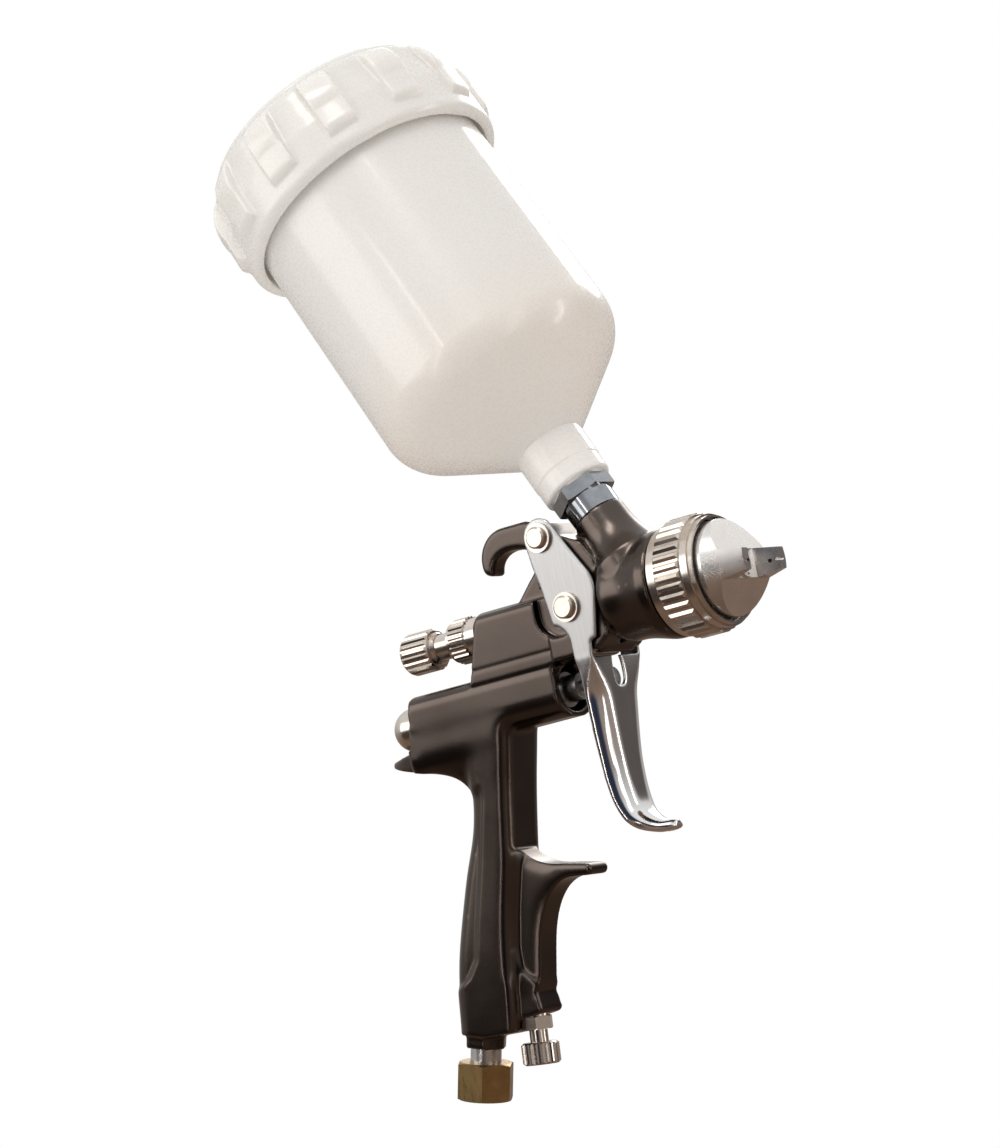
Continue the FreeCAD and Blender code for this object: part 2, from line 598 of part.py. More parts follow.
def lid():
    bore = 44.3
    steps = [(171.0, bore), (171.0, 45.8), ("arc", (171.9, 47.4), (174.5, 48.3)), (186.0, 48.3)]
    steps += [(199.0, 45.8), ("arc", (204.6, 43.4), (LID_TOP, 38.6)), (LID_TOP, 36.0)]
    steps += [(LID_TOP - 0.9, 35.0), (LID_TOP - 0.9, 4.05), (CUP_MOUTH + 2.0, 4.05)]
    steps += [(CUP_MOUTH + 2.0, bore)]
    cap = turned(steps, CUP_START, CUP_UP)
    hollow = rod(CUP_START, CUP_UP, 170.0, CUP_MOUTH + 2.0, bore)
    pads = []
    for number in range(12):
        pads.append(about_cup_axis(box(40.0, 52.0, -5.6, 5.6, 176.0, 204.0), 30 * number + 6))
    outline = [(177.5, 46.0), (177.5, 48.4), ("arc", (178.8, 49.8), (181.5, 50.3)), (188.0, 50.1)]
    outline += [("arc", (199.5, 47.9), (204.0, 42.6)), (200.0, 42.6), (200.0, 46.0)]
    envelope = turned(outline, CUP_START, CUP_UP).cut(hollow)
    return joined([cap] + [pad.common(envelope) for pad in pads])


def lid_gasket():
    return ring(CUP_START, CUP_UP, CUP_MOUTH, CUP_MOUTH + 1.7, 43.6, 40.2)


def lid_vent():
    steps = [(CUP_MOUTH + 1.0, 0), (CUP_MOUTH + 1.0, 4.0), (LID_TOP - 0.8, 4.0)]
    steps += [(LID_TOP - 0.8, 6.0), (LID_TOP + 1.2, 5.4), (LID_TOP + 1.2, 0)]
    return turned(steps, CUP_START, CUP_UP)


# ---- Trigger ------------------------------------------------------------------

def channel_side(inset):
    """Side outline of the trigger's lower channel; inset draws its inner surface."""
    top = -17.6
    steps = [(4.3 - 8 * inset, top), (11.5 - inset, top)]
    steps += [("curve", [(10.9 - inset, -36.0), (10.0 - inset, -56.0), (11.0 - inset, -65.5)])]
    if inset:
        steps += [("curve", [(8.0, -69.5), (3.0, -71.5)]), (-8.0, -71.5)]
    else:
        steps += [("curve", [(13.4, -70.6), (18.0, -73.6)]), (22.4, -74.2)]
        steps += [("arc", (23.2, -75.5), (21.8, -76.6))]
        steps += [("curve", [(15.0, -77.0), (9.2, -74.5), (5.2, -67.0), (3.6, -56.0),
                             (3.7, -40.0), (4.3, top)])]
    return steps


def channel_front(inset, depth):
    """A bar along X whose section is the channel seen from the front."""
    points = [(PLATE_OUT - inset, -14.0), (PLATE_OUT - inset, -18.0), (12.2 - inset, -36.0)]
    points += [(10.6 - inset, -52.0), (9.8 - inset, -66.0), (8.8 - inset, -72.0)]
    points += [(5.0 - inset, -79.0)]
    mirrored = [(-y, z) for y, z in reversed(points)]
    face = closed_face(points + mirrored, lambda y, z: FreeCAD.Vector(-20.0, y, z))
    return face.extrude(FreeCAD.Vector(depth, 0, 0))


def trigger():
    """One folded sheet: two cheek plates above, a channel with a curled lip below."""
    outer = slab(channel_side(0.0), -20, 20).common(channel_front(0.0, 60.0))
    inner = slab(channel_side(SHEET), -20, 20).common(channel_front(SHEET, 60.0))
    channel = outer.cut(inner)
    pivot = (0.0, PIVOT_HEIGHT)
    steps = [(-6.4, 24.0), ("arc", (-2.4, 30.6), (4.6, 29.0))]
    steps += [(9.4, 20.6), (16.2, 9.8), ("arc", (17.6, 5.0), (17.0, 0.0)), (14.4, -11.9)]
    steps += [(12.1, -12.7), (11.5, -17.7), (4.3, -17.7), (4.2, -12.4)]
    steps += [("arc", (2.9, -8.1), (-1.5, -4.9)), (-3.4, 7.8), (-5.2, 15.6)]
    plates = both_sides(slab(steps, PLATE_IN, PLATE_OUT))
    folded = joined([channel] + plates)
    notch = box(5.0, 20.0, -2.3, 2.3, -25.0, -17.0)
    notch = notch.fuse(rod(FreeCAD.Vector(0, 0, -25.0), ALONG_X, 5.0, 20.0, 2.3))
    pivot_hole = rod(FreeCAD.Vector(pivot[0], 0, pivot[1]), ALONG_Y, -20, 20, 3.0 + FIT)
    stud_hole = rod(FreeCAD.Vector(STUD_X, 0, 0), ALONG_Y, -20, 20, 3.0)
    return folded.cut([notch, pivot_hole, stud_hole])


def headed_pin(x, z, inner, head):
    """Half of a pin on the +Y side: a shank from inner out to its rounded head."""
    start = FreeCAD.Vector(x, 0, z)
    steps = [(inner, 0), (inner, 3.0), (15.2, 3.0), (15.2, head), (16.2, head)]
    steps += [(16.7, head - 0.6), (16.7, 0)]
    return turned(steps, start, ALONG_Y)


def pivot_pin():
    return joined(both_sides(headed_pin(0.0, PIVOT_HEIGHT, -1.0, 3.6)))


def trigger_studs():
    return Part.makeCompound(both_sides(headed_pin(STUD_X, 0.0, 3.0, 3.8)))


def washers(x, z):
    """A pair of washers outside the trigger plates."""
    start = FreeCAD.Vector(x, 0, z)
    return Part.makeCompound(both_sides(ring(start, ALONG_Y, 14.1, 15.15, 4.9, 3.0)))


# ---- Air side -----------------------------------------------------------------

def air_valve():
    """Poppet and stem, with the button that the trigger presses."""
    steps = [(-34.0, 0), (-34.0, 3.0), (-32.6, 4.9), (-30.4, 4.9), (-28.6, 3.2), (-28.6, 1.8)]
    steps += [(8.0, 1.8), (8.0, 3.5), (9.0, 3.5), (9.4, 3.0), (9.4, 0)]
    return turned(steps, AIR_START, ALONG_X)


def air_valve_seat():
    """Bushing that guides the stem; the poppet closes against its rear lip."""
    steps = [(-28.3, 2.4), (-28.3, 5.95), (-24.6, 5.95), (-24.6, 3.0), (-15.4, 3.0)]
    steps += [(-15.4, 5.95), (-10.2, 5.95), (-10.2, 4.6), (-4.0, 4.6), (-4.0, 1.8 + FIT)]
    steps += [(-17.0, 1.8 + FIT), (-17.0, 2.4)]
    return turned(steps, AIR_START, ALONG_X)


def air_valve_spring():
    return coil(AIR_START, BACK_X, 34.3, 62.7, 4.0, 0.6, 8)


def air_valve_plug():
    """Domed plug that closes the rear of the air-valve barrel."""
    dome = -75.2
    radius = 7.5
    diagonal = radius * math.sqrt(0.5)
    steps = [(-63.0, 0), (-63.0, 5.95), (-71.6, 5.95), (-71.6, radius), (dome, radius)]
    steps += [("arc", (dome - diagonal, diagonal), (dome - radius, 0.0))]
    return turned(steps, AIR_START, ALONG_X)


def inlet_nipple():
    """Nipple with a flare that stays captive in the swivel nut."""
    steps = [(THREAD_DEPTH + 0.1, 3.4), (THREAD_DEPTH + 0.1, 5.3), (THREAD_DEPTH + 0.6, 5.9)]
    steps += [(THREAD_DEPTH + 1.4, 5.9), (THREAD_DEPTH + 1.7, 5.2), (29.0, 5.2), (29.0, 3.4)]
    return turned(steps, INLET_START, INLET_UP)


def swivel_nut():
    bar = hexagon(INLET_START, INLET_UP, 0.0, 12.8, NUT_FLATS, 1.4)
    bore = rod(INLET_START, INLET_UP, -1.0, THREAD_DEPTH, THREAD_BORE)
    relief = rod(INLET_START, INLET_UP, THREAD_DEPTH, THREAD_DEPTH + 1.8, 6.0)
    lip = rod(INLET_START, INLET_UP, 5.0, 20.0, 5.2 + FIT)
    return bar.cut([bore, relief, lip])


def regulator_bushing():
    nut = hexagon(REGULATOR_START, REGULATOR_UP, 11.6, 16.1, 9.6, 0.8)
    thread = rod(REGULATOR_START, REGULATOR_UP, 14.0, 23.8, 4.5)
    return nut.fuse(thread).cut(rod(REGULATOR_START, REGULATOR_UP, 10.0, 30.0, 3.1 + FIT))


def regulator_seal():
    return ring(REGULATOR_START, REGULATOR_UP, 26.6, 28.0, 3.25, 2.0)


def regulator_knob():
    """Knurled knob and stem of the regulator."""
    band = knurled(REGULATOR_START, REGULATOR_UP, 0.0, 7.5, 6.4, 20, 0.45)
    trim = turned([(0, 0), (0, 5.5), (0.8, 6.4), (6.8, 6.4), (7.5, 5.5), (7.5, 0)],
                  REGULATOR_START, REGULATOR_UP)
    stem = turned([(7.0, 0), (7.0, 3.1), (26.4, 3.1), (26.4, 1.95), (29.0, 1.95), (30.6, 0.6),
                   (30.6, 0)], REGULATOR_START, REGULATOR_UP)
    return joined([band.common(trim), stem])


def fan_bushing():
    start = FreeCAD.Vector(FAN_X, 0, PASSAGE_Z)
    nut = hexagon(start, ALONG_Y, BLOCK_HALF + 0.1, 14.6, 11.0, 0.9)
    thread = rod(start, ALONG_Y, 5.0, 12.0, 3.6)
    return nut.fuse(thread).cut(rod(start, ALONG_Y, 0.0, 20.0, 2.0 + FIT))


def fan_knob():
    """Fan-width control on the left side."""
    start = FreeCAD.Vector(FAN_X, 0, PASSAGE_Z)
    band = knurled(start, ALONG_Y, 18.0, 27.0, 6.8, 20, 0.55)
    steps = [(18.0, 0), (18.0, 6.2), (18.8, 6.8), (25.6, 6.8), (27.0, 5.4), (27.0, 0)]
    knob = band.common(turned(steps, start, ALONG_Y))
    stem = turned([(3.4, 0), (5.4, 2.0), (14.9, 2.0), (14.9, 3.4), (19.0, 3.4), (19.0, 0)],
                  start, ALONG_Y)
    return joined([knob, stem])


# ---- Export -------------------------------------------------------------------

NODES = {
    "gun_body": gun_body,
    "fluid_tip": fluid_tip,
    "air_baffle": air_baffle,
    "needle_packing": needle_packing,
    "packing_nut": packing_nut,
    "fluid_needle": fluid_needle,
    "needle_collar": needle_collar,
    "needle_spring": needle_spring,
    "spring_seat": spring_seat,
    "rear_bushing": rear_bushing,
    "fluid_knob": fluid_knob,
    "air_cap": air_cap,
    "retaining_ring": retaining_ring,
    "cap_clip": cap_clip,
    "cup_fitting": cup_fitting,
    "cup_gasket": cup_gasket,
    "cup": cup,
    "cup_strainer": cup_strainer,
    "lid": lid,
    "lid_gasket": lid_gasket,
    "lid_vent": lid_vent,
    "trigger": trigger,
    "pivot_pin": pivot_pin,
    "pivot_washers": lambda: washers(0.0, PIVOT_HEIGHT),
    "trigger_studs": trigger_studs,
    "stud_washers": lambda: washers(STUD_X, 0.0),
    "air_valve": air_valve,
    "air_valve_seat": air_valve_seat,
    "air_valve_spring": air_valve_spring,
    "air_valve_plug": air_valve_plug,
    "inlet_nipple": inlet_nipple,
    "swivel_nut": swivel_nut,
    "regulator_bushing": regulator_bushing,
    "regulator_seal": regulator_seal,
    "regulator_knob": regulator_knob,
    "fan_bushing": fan_bushing,
    "fan_knob": fan_knob,
}


def main():
    os.makedirs("parts", exist_ok=True)
    to_origin = FreeCAD.Vector(-HOOK_SEAT[0], 0, -HOOK_SEAT[1])
    for name, make in NODES.items():
        shape = make()
        shape.translate(to_origin)
        shape.exportStep("parts/" + name + ".step")


if __name__ == "__main__":
    main()
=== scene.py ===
import json
import math

import bmesh
import bpy
import numpy as np
from mathutils import Matrix, Vector

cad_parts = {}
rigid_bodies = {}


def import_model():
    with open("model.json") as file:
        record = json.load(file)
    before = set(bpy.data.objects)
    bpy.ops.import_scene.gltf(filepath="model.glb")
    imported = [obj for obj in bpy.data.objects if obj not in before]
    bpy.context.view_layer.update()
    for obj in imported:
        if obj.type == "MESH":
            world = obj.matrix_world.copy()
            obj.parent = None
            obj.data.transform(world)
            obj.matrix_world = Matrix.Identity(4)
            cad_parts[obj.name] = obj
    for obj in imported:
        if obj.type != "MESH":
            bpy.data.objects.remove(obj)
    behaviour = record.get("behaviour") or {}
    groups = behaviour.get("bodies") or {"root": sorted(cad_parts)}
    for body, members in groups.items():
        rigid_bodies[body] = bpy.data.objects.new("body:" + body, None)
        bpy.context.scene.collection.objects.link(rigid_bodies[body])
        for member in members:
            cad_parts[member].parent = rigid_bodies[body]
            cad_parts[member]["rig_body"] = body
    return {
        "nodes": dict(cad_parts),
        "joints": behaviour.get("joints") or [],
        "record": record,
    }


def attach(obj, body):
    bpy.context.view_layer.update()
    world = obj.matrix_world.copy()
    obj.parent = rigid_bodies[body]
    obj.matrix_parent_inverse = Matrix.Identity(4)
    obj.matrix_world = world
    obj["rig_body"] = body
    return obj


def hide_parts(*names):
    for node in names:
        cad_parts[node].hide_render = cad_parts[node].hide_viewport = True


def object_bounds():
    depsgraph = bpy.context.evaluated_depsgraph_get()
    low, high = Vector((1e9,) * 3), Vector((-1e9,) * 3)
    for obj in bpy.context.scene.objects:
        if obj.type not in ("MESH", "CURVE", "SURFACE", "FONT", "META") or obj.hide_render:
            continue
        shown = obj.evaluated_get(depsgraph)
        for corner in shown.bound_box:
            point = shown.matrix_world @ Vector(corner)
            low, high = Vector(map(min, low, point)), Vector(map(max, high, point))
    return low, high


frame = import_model()
cad_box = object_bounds()

NODES = frame["nodes"]
MM = 0.001

# ---- Places taken from the frame ----------------------------------------------

JOINTS = {joint["name"]: joint for joint in frame["joints"]}
CUP_AXIS = Vector(JOINTS["cup_turn"]["axis"]).normalized()
CUP_CROSSING = Vector(JOINTS["cup_turn"]["pos_m"])
SPRAY_Z = JOINTS["air_cap_turn"]["pos_m"][2]
LOWEST = cad_box[0].z

# The camera looks at the gun from the front of its right side, from slightly below.
CAMERA_AT = Vector((0.8765, -1.2191, -0.1856))
CAMERA_RIGHT = Vector((0.78030, 0.59480, -0.19323))
CAMERA_UP = Vector((0.22567, 0.02037, 0.97398))
LENS = 142.66


# ---- Node helpers -------------------------------------------------------------

class Graph:
    """A new node material around one Principled shader."""

    def __init__(self, name, **sockets):
        self.material = bpy.data.materials.new(name)
        self.material.use_nodes = True
        self.tree = self.material.node_tree
        self.shader = self.tree.nodes["Principled BSDF"]
        for socket, value in sockets.items():
            self.shader.inputs[socket.replace("_", " ")].default_value = value
        self.place = self.add("ShaderNodeTexCoord").outputs["Object"]

    def add(self, kind, **settings):
        node = self.tree.nodes.new(kind)
        for key, value in settings.items():
            setattr(node, key, value)
        return node

    def link(self, source, target):
        self.tree.links.new(source, target)

    def stretched(self, scale, turn=(0, 0, 0)):
        """Object coordinates in metres, scaled, so that a feature of 1/scale becomes 1."""
        node = self.add("ShaderNodeMapping")
        node.inputs["Scale"].default_value = scale
        node.inputs["Rotation"].default_value = turn
        self.link(self.place, node.inputs["Vector"])
        return node.outputs["Vector"]

    def noise(self, size, detail=3.0, rough=0.55, where=None):
        """Noise whose blotches are about size metres across."""
        node = self.add("ShaderNodeTexNoise")
        node.inputs["Detail"].default_value = detail
        node.inputs["Roughness"].default_value = rough
        node.inputs["Scale"].default_value = 1.0 / size if where is None else 1.0
        self.link(where or self.place, node.inputs["Vector"])
        return node.outputs["Fac"]

    def ramp(self, value, *stops):
        node = self.add("ShaderNodeValToRGB")
        elements = node.color_ramp.elements
        while len(elements) < len(stops):
            elements.new(0.5)
        for element, (position, colour) in zip(elements, stops):
            element.position = position
            element.color = (*colour, 1.0)
        self.link(value, node.inputs["Fac"])
        return node.outputs["Color"]

    def spread(self, value, low, high, start=0.3, end=0.7):
        """value, from start to end, mapped to low to high."""
        node = self.add("ShaderNodeMapRange")
        for socket, number in zip(("From Min", "From Max", "To Min", "To Max"),
                                  (start, end, low, high)):
            node.inputs[socket].default_value = number
        self.link(value, node.inputs["Value"])
        return node.outputs["Result"]

    def maths(self, operation, first, second=None):
        node = self.add("ShaderNodeMath", operation=operation)
        for socket, value in zip(node.inputs, (first, second)):
            if value is None:
                continue
            if isinstance(value, (int, float)):
                socket.default_value = value
            else:
                self.link(value, socket)
        return node.outputs["Value"]

    def mixed(self, factor, first, second):
        node = self.add("ShaderNodeMix", data_type="RGBA")
        for socket, value in zip((node.inputs[0], node.inputs[6], node.inputs[7]),
                                 (factor, first, second)):
            if isinstance(value, (int, float)):
                socket.default_value = value
            elif isinstance(value, tuple):
                socket.default_value = (*value, 1.0)
            else:
                self.link(value, socket)
        return node.outputs[2]

    def along(self, axis, origin=(0, 0, 0)):
        """Distance along an axis from origin, in metres."""
        moved = self.add("ShaderNodeVectorMath", operation="SUBTRACT")
        moved.inputs[1].default_value = origin
        self.link(self.place, moved.inputs[0])
        dot = self.add("ShaderNodeVectorMath", operation="DOT_PRODUCT")
        dot.inputs[1].default_value = axis
        self.link(moved.outputs[0], dot.inputs[0])
        return dot.outputs["Value"]

    def bump(self, *layers):
        """Layers are (height, strength, distance in metres), the finest last."""
        normal = None
        for height, strength, distance in layers:
            node = self.add("ShaderNodeBump")
            node.inputs["Strength"].default_value = strength
            node.inputs["Distance"].default_value = distance
            self.link(height, node.inputs["Height"])
            if normal is not None:
                self.link(normal, node.inputs["Normal"])
            normal = node.outputs["Normal"]
        self.link(normal, self.shader.inputs["Normal"])

    def finish(self, colour=None, roughness=None):
        if colour is not None:
            self.link(colour, self.shader.inputs["Base Color"])
        if roughness is not None:
            self.link(roughness, self.shader.inputs["Roughness"])
        return self.material


# ---- Materials ----------------------------------------------------------------

def casting_metal():
    """Dark bronze anodised forging: glossy satin, paler on sharp edges, a painted highlight
    along them that is partly edge wear.
    """
    g = Graph("dark_bronze", Metallic=1.0, Specular_IOR_Level=0.5)
    broad = g.noise(0.03, 2.0)
    fine = g.noise(0.0007, 3.0)
    base = g.ramp(broad, (0.35, (0.084, 0.068, 0.060)), (0.65, (0.100, 0.082, 0.072)))
    # Paler on sharp edges by pointiness: a painted highlight along the edges, partly edge wear.
    edge = g.add("ShaderNodeNewGeometry").outputs["Pointiness"]
    edge_wear_and_highlight = g.spread(edge, 0.0, 0.35, 0.52, 0.60)
    colour = g.mixed(edge_wear_and_highlight, base, (0.26, 0.22, 0.19))
    rough = g.maths("ADD", g.spread(broad, 0.20, 0.25), g.spread(fine, -0.015, 0.015))
    g.bump((g.noise(0.006, 2.0), 0.03, 0.0004), (fine, 0.04, 0.00005))
    return g.finish(colour, rough)


def plated(name, pale, dark, low, high):
    """Bright plating with faint stains and fine scratches."""
    g = Graph(name, Metallic=1.0)
    stain = g.noise(0.006, 3.0)
    scratch = g.noise(0, 3.0, 0.6, g.stretched((180.0, 1600.0, 1600.0), (0.3, 0.5, 0.9)))
    colour = g.ramp(stain, (0.3, dark), (0.62, pale))
    rough = g.maths("ADD", g.spread(stain, high, low), g.spread(scratch, 0.0, 0.04))
    g.bump((scratch, 0.03, 0.00003), (g.noise(0.003, 2.0), 0.03, 0.0001))
    return g.finish(colour, rough)


def trigger_metal():
    """Plated sheet: a mirror on the lever, brushed satin on the cheek plates above it."""
    g = Graph("polished_trigger", Metallic=1.0)
    height = g.along((0, 0, 1))
    satin = g.spread(height, 0.0, 1.0, -0.056, -0.040)
    stain = g.noise(0.008, 3.0)
    brushed = g.noise(0, 3.0, 0.6, g.stretched((1500.0, 1500.0, 60.0), (0, 0.35, 0)))
    bright = g.ramp(stain, (0.3, (0.80, 0.80, 0.81)), (0.7, (0.88, 0.88, 0.88)))
    plate = g.ramp(brushed, (0.3, (0.47, 0.475, 0.48)), (0.7, (0.54, 0.54, 0.54)))
    rough = g.maths("ADD", g.spread(satin, 0.12, 0.34, 0.0, 1.0), g.spread(brushed, -0.01, 0.02))
    g.bump((g.noise(0.004, 2.0), 0.04, 0.0002), (brushed, 0.03, 0.00003))
    return g.finish(g.mixed(satin, bright, plate), rough)


def turned_metal(name, pale, dark, low, high, axis, origin):
    """Metal from the lathe: rings round its axis, finer than the eye separates."""
    g = Graph(name, Metallic=1.0)
    station = g.along(axis, origin)
    cuts = g.maths("SINE", g.maths("MULTIPLY", station, 2 * math.pi / 0.00022))
    stain = g.noise(0.008, 2.0)
    colour = g.ramp(stain, (0.3, dark), (0.65, pale))
    rough = g.spread(stain, high, low)
    g.bump((cuts, 0.05, 0.00002), (g.noise(0.003, 2.0), 0.03, 0.00008))
    return g.finish(colour, rough)


def brass_metal(axis, origin):
    g = Graph("brass", Metallic=1.0)
    stain = g.noise(0.006, 3.0)
    brushed = g.noise(0, 3.0, 0.5, g.stretched((900.0, 900.0, 120.0)))
    colour = g.ramp(stain, (0.3, (0.27, 0.17, 0.07)), (0.7, (0.42, 0.29, 0.13)))
    rough = g.maths("ADD", g.spread(stain, 0.36, 0.27), g.spread(brushed, -0.03, 0.05))
    g.bump((brushed, 0.08, 0.00005), (stain, 0.06, 0.0002))
    return g.finish(colour, rough)


def milky_plastic(name, top, cone, cone_from, cone_to):
    """Translucent polypropylene, warmer and darker down its outlet cone.

    The weak emission stands in for light that comes through the wall from inside.
    """
    g = Graph(name, Subsurface_Weight=0.35, Subsurface_Scale=0.008,
              Subsurface_Radius=(1.0, 0.9, 0.8), Coat_Weight=0.4, Coat_Roughness=0.06,
              Emission_Color=(1.0, 0.94, 0.85, 1.0), Emission_Strength=0.03)
    height = g.along(CUP_AXIS, CUP_CROSSING)
    station = g.maths("MAXIMUM", g.spread(height, 0.0, 1.0, cone_from, cone_to),
                      g.spread(height, 1.0, 0.0, 0.060, 0.066))
    cloud = g.noise(0.04, 2.0)
    colour = g.mixed(station, cone, top)
    colour = g.mixed(g.spread(cloud, 0.0, 0.25), colour,
                     tuple(0.95 * channel for channel in top))
    flow = g.noise(0, 2.0, 0.5, g.stretched((14.0, 14.0, 3.0), (0, math.radians(27), 0)))
    grain = g.noise(0.0008, 2.0)
    g.bump((flow, 0.08, 0.001), (grain, 0.03, 0.00006))
    return g.finish(colour, g.spread(grain, 0.24, 0.32))


def dull(name, pale, dark, size, rough):
    """Rubber, PTFE and moulded trim."""
    g = Graph(name)
    mottle = g.noise(size, 4.0)
    colour = g.ramp(mottle, (0.3, dark), (0.7, pale))
    g.bump((mottle, 0.15, size * 0.1))
    return g.finish(colour, g.spread(mottle, rough - 0.06, rough + 0.06))


X = (1, 0, 0)
SPRAY_START = (0, 0, SPRAY_Z)
INLET_AXIS = tuple(JOINTS["inlet_nut_swivel"]["axis"])
INLET_AT = tuple(JOINTS["inlet_nut_swivel"]["pos_m"])

MATERIALS = {
    "casting": casting_metal(),
    "polished": trigger_metal(),
    "nickel": plated("nickel_plate", (0.72, 0.66, 0.60), (0.60, 0.54, 0.48), 0.14, 0.22),
    "cap_metal": turned_metal("satin_cap", (0.74, 0.72, 0.70), (0.63, 0.61, 0.59),
                              0.24, 0.32, X, SPRAY_START),
    "dark_chrome": plated("dark_chrome", (0.40, 0.43, 0.46), (0.30, 0.32, 0.35), 0.06, 0.11),
    "steel": turned_metal("turned_steel", (0.66, 0.66, 0.66), (0.50, 0.50, 0.50),
                          0.22, 0.34, X, SPRAY_START),
    "brass": brass_metal(INLET_AXIS, INLET_AT),
    "cup_plastic": milky_plastic("cup_plastic", (0.80, 0.775, 0.735), (0.79, 0.72, 0.65),
                                 0.085, 0.118),
    "lid_plastic": milky_plastic("lid_plastic", (0.77, 0.755, 0.72), (0.77, 0.75, 0.715),
                                 0.10, 0.16),
    "seal": dull("black_rubber", (0.045, 0.045, 0.045), (0.02, 0.02, 0.02), 0.001, 0.7),
    "white_seal": dull("white_ptfe", (0.84, 0.83, 0.80), (0.74, 0.73, 0.70), 0.002, 0.5),
    "mesh_plastic": dull("pale_moulding", (0.82, 0.81, 0.78), (0.74, 0.73, 0.70), 0.0015, 0.45),
}
SLOT_OF = {part["node"]: part["material_slot"] for part in frame["record"]["subparts"]}


def dress(piece, slot):
    piece.data.materials.clear()
    piece.data.materials.append(MATERIALS[slot])


for node, piece in NODES.items():
    for index in range(len(piece.material_slots)):
        piece.material_slots[index].link = "OBJECT"
        piece.material_slots[index].material = MATERIALS[SLOT_OF[node]]


# ---- Softened castings and mouldings ------------------------------------------

BARREL_BOTTOM = -0.0587    # underside of the air-valve barrel
BARREL_HALF = 0.0109       # half width of its flat side
BORE_CLEAR = 0.0058        # nearer the middle than this, points belong to bores
SCOOP_DEPTH = 0.0009       # of the palm and finger scoops
LID_BORE = 0.0443          # inner radius of the lid's skirt
LID_FILL = 0.0011          # added inside its corner
# (z, x) along the handle's front edge line and along the front of its palm scoop
FRONT_LINE = [(-0.1420, -0.022), (-0.1361, -0.0273), (-0.1292, -0.0278), (-0.1163, -0.0246),
              (-0.0972, -0.0186), (-0.0811, -0.0150), (-0.0582, -0.0114)]
PALM_LINE = [(-0.144, -0.064), (-0.1355, -0.0455), (-0.1302, -0.0412), (-0.1173, -0.0376),
             (-0.0981, -0.0316), (-0.0788, -0.0263), (-0.0740, -0.026)]
# (x, z) down the front of the lever to its tip, and (z, half width) up it
LEVER_FRONT = [(0.0315, -0.0420), (0.0309, -0.0607), (0.0300, -0.0807), (0.0310, -0.0902),
               (0.0334, -0.0953), (0.0380, -0.0983), (0.0424, -0.0989), (0.0440, -0.0990)]
LEVER_HALF = [(-0.1037, 0.005), (-0.0967, 0.0088), (-0.0907, 0.0098), (-0.0767, 0.0106),
              (-0.0607, 0.0122), (-0.0427, 0.0140)]


def softened(node, voxel, rounds, shape=None, inner=None):
    """A piece over a CAD node's own shape, with the rounded edges of a forging or a moulding.

    shape may move the points of the result, an array of places in metres, and inner those of
    the CAD mesh before it is divided into voxels.
    """
    source = NODES[node]
    mesh = source.data.copy()
    if inner is not None:
        points = np.empty(len(mesh.vertices) * 3)
        mesh.vertices.foreach_get("co", points)
        mesh.vertices.foreach_set("co", inner(points.reshape(-1, 3)).ravel())
    work = bmesh.new()
    work.from_mesh(mesh)
    bmesh.ops.remove_doubles(work, verts=work.verts, dist=1e-6)
    work.to_mesh(mesh)
    work.free()
    piece = bpy.data.objects.new(node + "_skin", mesh)
    bpy.context.scene.collection.objects.link(piece)
    remesh = piece.modifiers.new("remesh", "REMESH")
    remesh.mode = "VOXEL"
    remesh.voxel_size = voxel
    smooth = piece.modifiers.new("smooth", "SMOOTH")
    smooth.factor = 0.5
    smooth.iterations = rounds
    graph = bpy.context.evaluated_depsgraph_get()
    soft = bpy.data.meshes.new_from_object(piece.evaluated_get(graph))
    piece.modifiers.clear()
    piece.data = soft
    if shape is not None:
        points = np.empty(len(soft.vertices) * 3)
        soft.vertices.foreach_get("co", points)
        edges = np.empty(len(soft.edges) * 2, dtype=np.int64)
        soft.edges.foreach_get("vertices", edges)
        points = shape(points.reshape(-1, 3), edges.reshape(-1, 2))
        soft.vertices.foreach_set("co", points.ravel())
        soft.update()
    soft.polygons.foreach_set("use_smooth", [True] * len(soft.polygons))
    dress(piece, SLOT_OF[node])
    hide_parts(node)
    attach(piece, source["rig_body"])
    return piece


def step(value, low, high):
    """Smooth step from 0 at low to 1 at high."""
    t = np.clip((value - low) / (high - low), 0.0, 1.0)
    return t * t * (3.0 - 2.0 * t)


def along_line(z, line):
    """x on a line of (z, x) places, at each height z."""
    levels, places = zip(*line)
    return np.interp(z, levels, places)


def relaxed(points, edges, weight, rounds):
    """Points drawn towards the mean of their neighbours, each by its own weight."""
    count = len(points)
    ends = np.concatenate([edges[:, 0], edges[:, 1]])
    others = np.concatenate([edges[:, 1], edges[:, 0]])
    neighbours = np.maximum(np.bincount(ends, minlength=count), 1)
    for _ in range(rounds):
        for axis in range(3):
            mean = np.bincount(ends, weights=points[others, axis], minlength=count) / neighbours
            points[:, axis] += weight * (mean - points[:, axis])
    return points


